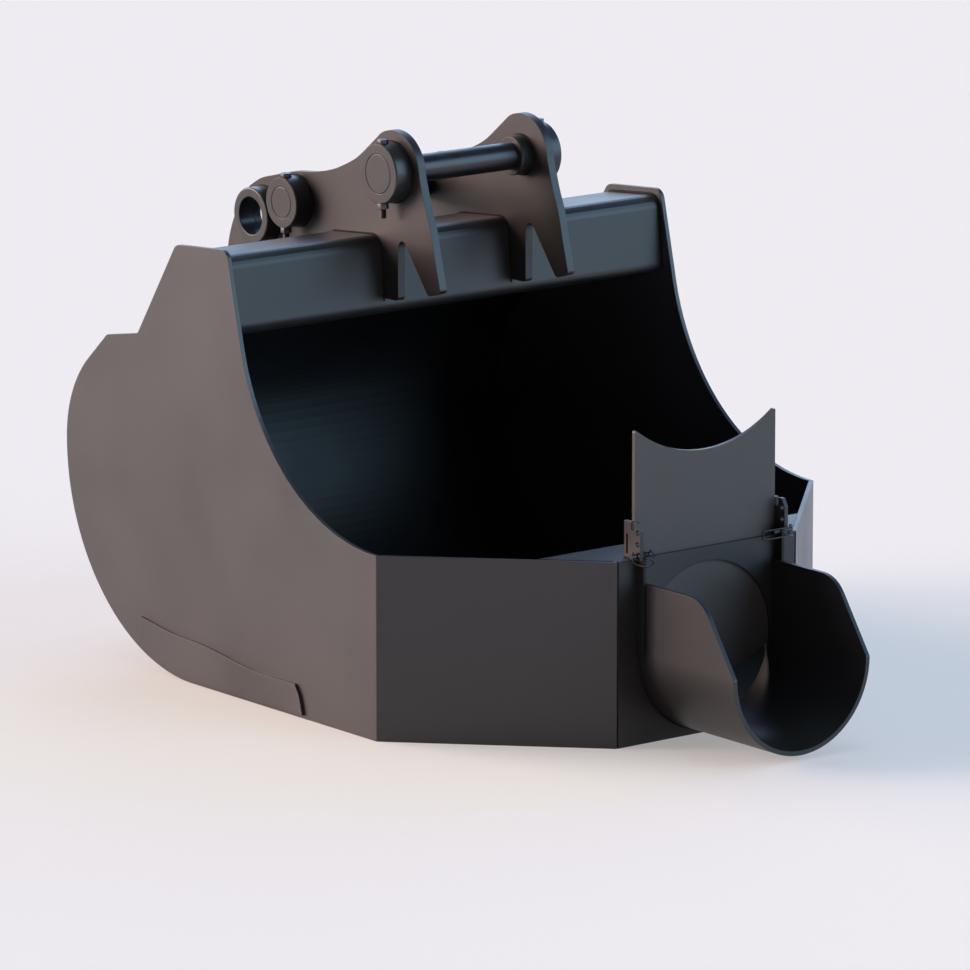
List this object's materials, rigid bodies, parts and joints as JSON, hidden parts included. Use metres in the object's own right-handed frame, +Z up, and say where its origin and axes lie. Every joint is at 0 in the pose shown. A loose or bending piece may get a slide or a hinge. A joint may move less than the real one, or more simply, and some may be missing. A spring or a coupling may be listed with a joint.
{
  "type": "concrete pouring bucket",
  "caption": "Steel excavator bucket for pouring concrete: open shell with a hanger, a nose with a gated round outlet and a discharge spout.",
  "frame": {"origin": "middle of the bounding box footprint, on the ground the bucket stands on", "axes": "X across, Z up, spout towards -Y, heel and hanger towards +Y"},
  "size_m": [1.012, 1.4879, 0.993],
  "materials": {
    "dark_paint": "satin",
    "pin_steel": "satin",
    "wire_steel": "satin",
    "bolt_steel": "satin"
  },
  "bodies": {
    "bucket": {"left_side_plate": "dark_paint", "right_side_plate": "dark_paint", "shell_plate": "dark_paint", "torsion_box": "dark_paint", "left_wing_panel": "dark_paint", "right_wing_panel": "dark_paint", "front_panel": "dark_paint", "nose_floor": "dark_paint", "nose_deck": "dark_paint", "outlet_flange": "dark_paint", "discharge_spout": "dark_paint", "left_gate_bracket": "dark_paint", "right_gate_bracket": "dark_paint", "gate_back_strap": "dark_paint", "left_gate_guide": "dark_paint", "right_gate_guide": "dark_paint", "left_hanger_plate": "dark_paint", "right_hanger_plate": "dark_paint", "left_front_boss": "dark_paint", "right_front_boss": "dark_paint", "left_rear_boss": "dark_paint", "right_rear_boss": "dark_paint", "left_lifting_eye": "dark_paint", "right_lifting_eye": "dark_paint", "left_front_sleeve": "dark_paint", "right_front_sleeve": "dark_paint", "front_pin": "pin_steel", "rear_pin": "pin_steel", "front_pin_caps": "dark_paint", "rear_pin_caps": "dark_paint", "front_pin_bolts": "bolt_steel", "rear_pin_bolts": "bolt_steel", "front_pin_nuts": "bolt_steel", "rear_pin_nuts": "bolt_steel", "left_heel_wear_plate": "dark_paint", "right_heel_wear_plate": "dark_paint"},
    "gate": {"gate_plate": "dark_paint"},
    "left_lock": {"left_lock_pin": "wire_steel"},
    "right_lock": {"right_lock_pin": "wire_steel"},
    "left_bail": {"left_pin_bail": "wire_steel"},
    "right_bail": {"right_pin_bail": "wire_steel"}
  },
  "joints": [
    {"name": "gate_lift", "type": "slide", "parent": "bucket", "child": "gate", "axis": [0, 0, 1], "range_m": [-0.08, 0.21]},
    {"name": "left_lock_slide", "type": "slide", "parent": "bucket", "child": "left_lock", "axis": [-1, 0, 0], "range_m": [0, 0.03]},
    {"name": "right_lock_slide", "type": "slide", "parent": "bucket", "child": "right_lock", "axis": [1, 0, 0], "range_m": [0, 0.03]},
    {"name": "left_bail_swing", "type": "hinge", "parent": "left_lock", "child": "left_bail", "pos_m": [-0.178, -0.498, 0.342], "axis": [0, 0, -1], "range_deg": [0, 150]},
    {"name": "right_bail_swing", "type": "hinge", "parent": "right_lock", "child": "right_bail", "pos_m": [0.178, -0.498, 0.342], "axis": [0, 0, 1], "range_deg": [0, 150]}
  ]
}
